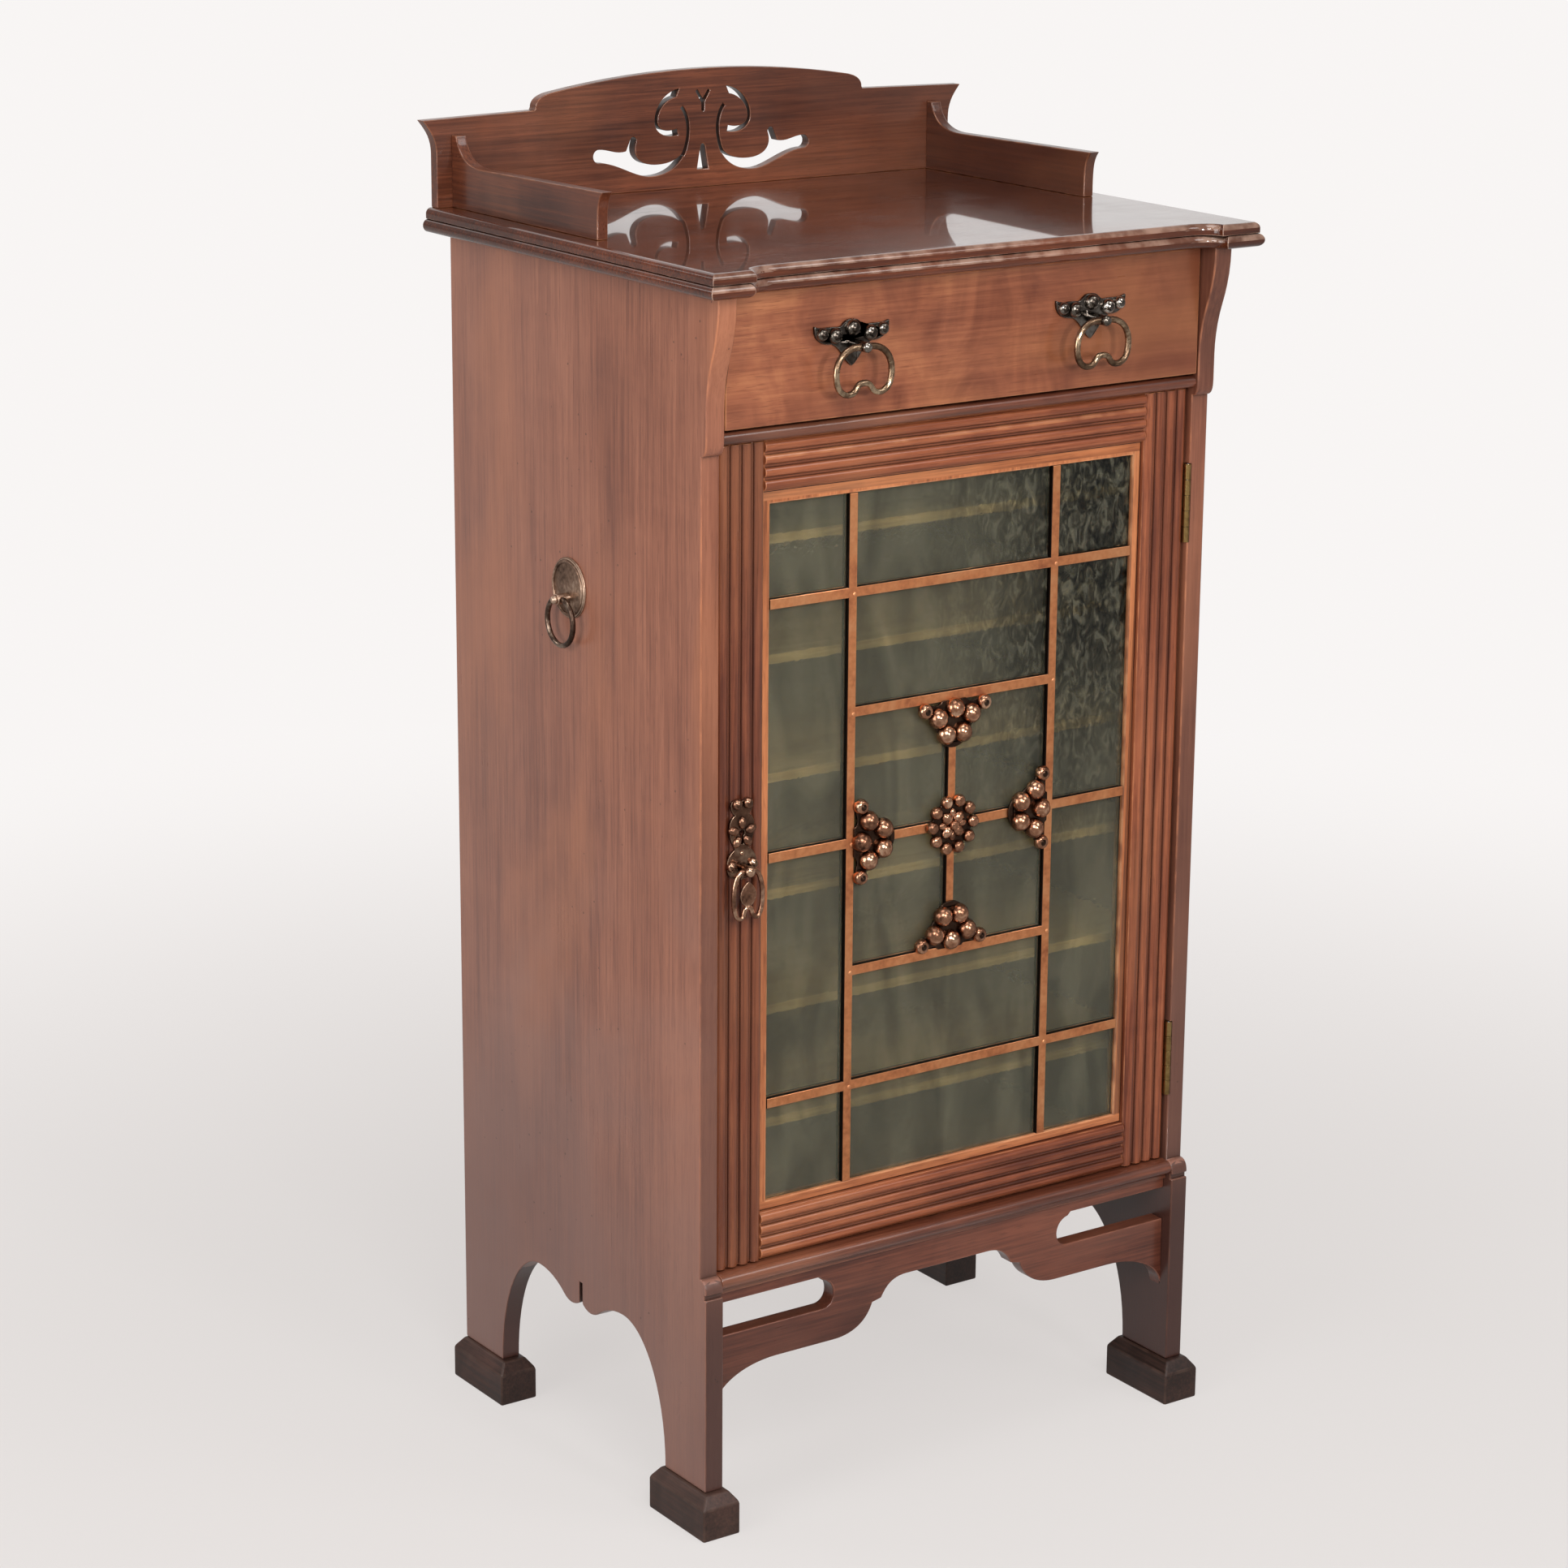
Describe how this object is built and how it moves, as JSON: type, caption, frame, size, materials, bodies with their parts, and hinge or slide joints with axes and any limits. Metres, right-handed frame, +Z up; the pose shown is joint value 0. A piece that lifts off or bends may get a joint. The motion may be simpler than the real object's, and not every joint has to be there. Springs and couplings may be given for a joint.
{
  "type": "music cabinet",
  "caption": "Tall narrow wooden cabinet on shaped legs with a leaded glass door over shelves, a drawer above, ring handles on the sides and a pierced gallery on top",
  "frame": {"origin": "middle of the cabinet's outline on the floor, under the feet", "axes": "+Z up, -Y out of the door and drawer front, +X to the right seen from the front"},
  "size_m": [0.545, 0.4284, 1.1349],
  "materials": {
    "mahogany": "polished",
    "dark_mahogany": "polished",
    "pale_wood": "matte",
    "gilt_wood": "satin",
    "copper": "aged copper",
    "dark_bronze": "aged bronze",
    "hinge_brass": "dull",
    "steel": "brushed",
    "hammered_glass": "hammered"
  },
  "bodies": {
    "carcass": {"left_side_panel": "mahogany", "right_side_panel": "mahogany", "top_board": "mahogany", "back_panel": "pale_wood", "bottom_board": "pale_wood", "dust_board": "pale_wood", "drawer_rail": "dark_mahogany", "drawer_stops": "pale_wood", "bead_rail": "dark_mahogany", "front_apron": "mahogany", "shelf_1": "pale_wood", "shelf_2": "pale_wood", "shelf_3": "pale_wood", "shelf_4": "pale_wood", "shelf_5": "pale_wood", "shelf_6": "pale_wood", "gallery_back": "mahogany", "gallery_left": "mahogany", "gallery_right": "mahogany", "foot_front_left": "dark_mahogany", "foot_front_right": "dark_mahogany", "foot_rear_left": "dark_mahogany", "foot_rear_right": "dark_mahogany", "door_stop": "pale_wood", "left_ring_plate": "copper", "right_ring_plate": "copper", "upper_hinge_case_leaf": "hinge_brass", "lower_hinge_case_leaf": "hinge_brass", "hinge_pins": "steel", "hinge_case_screws": "hinge_brass"},
    "door": {"door_left_stile": "mahogany", "door_right_stile": "mahogany", "door_top_rail": "mahogany", "door_bottom_rail": "mahogany", "glazing_frame": "gilt_wood", "came_lattice": "copper", "glass_panes": "hammered_glass", "came_clusters": "copper", "centre_rosette": "copper", "lock_escutcheon": "copper", "lock_case": "steel", "upper_hinge_door_leaf": "hinge_brass", "lower_hinge_door_leaf": "hinge_brass", "hinge_door_screws": "hinge_brass"},
    "drawer": {"drawer_front": "mahogany", "drawer_left_side": "pale_wood", "drawer_right_side": "pale_wood", "drawer_back": "pale_wood", "drawer_bottom": "pale_wood", "left_drawer_plate": "dark_bronze", "right_drawer_plate": "dark_bronze"},
    "lock_bolt": {"lock_bolt": "steel"},
    "door_pull": {"door_pull": "copper"},
    "left_bail": {"left_drawer_bail": "dark_bronze"},
    "right_bail": {"right_drawer_bail": "dark_bronze"},
    "left_ring": {"left_side_ring": "copper"},
    "right_ring": {"right_side_ring": "copper"}
  },
  "joints": [
    {"name": "drawer_slide", "type": "slide", "parent": "carcass", "child": "drawer", "axis": [0, -1, 0], "range_m": [0, 0.26]},
    {"name": "door_hinge", "type": "hinge", "parent": "carcass", "child": "door", "pos_m": [0.23225, -0.17025, 0.8], "axis": [0, 0, 1], "range_deg": [0, 95]},
    {"name": "lock_bolt_slide", "type": "slide", "parent": "door", "child": "lock_bolt", "axis": [-1, 0, 0], "range_m": [0, 0.008]},
    {"name": "door_pull_hinge", "type": "hinge", "parent": "door", "child": "door_pull", "pos_m": [-0.20975, -0.17875, 0.558], "axis": [-1, 0, 0], "range_deg": [0, 85]},
    {"name": "left_bail_hinge", "type": "hinge", "parent": "drawer", "child": "left_bail", "pos_m": [-0.117, -0.19675, 0.966], "axis": [-1, 0, 0], "range_deg": [0, 90]},
    {"name": "right_bail_hinge", "type": "hinge", "parent": "drawer", "child": "right_bail", "pos_m": [0.117, -0.19675, 0.966], "axis": [-1, 0, 0], "range_deg": [0, 90]},
    {"name": "left_ring_hinge", "type": "hinge", "parent": "carcass", "child": "left_ring", "pos_m": [-0.2595, 0.01825, 0.744], "axis": [0, 1, 0], "range_deg": [0, 90]},
    {"name": "right_ring_hinge", "type": "hinge", "parent": "carcass", "child": "right_ring", "pos_m": [0.2595, 0.01825, 0.744], "axis": [0, -1, 0], "range_deg": [0, 90]}
  ]
}
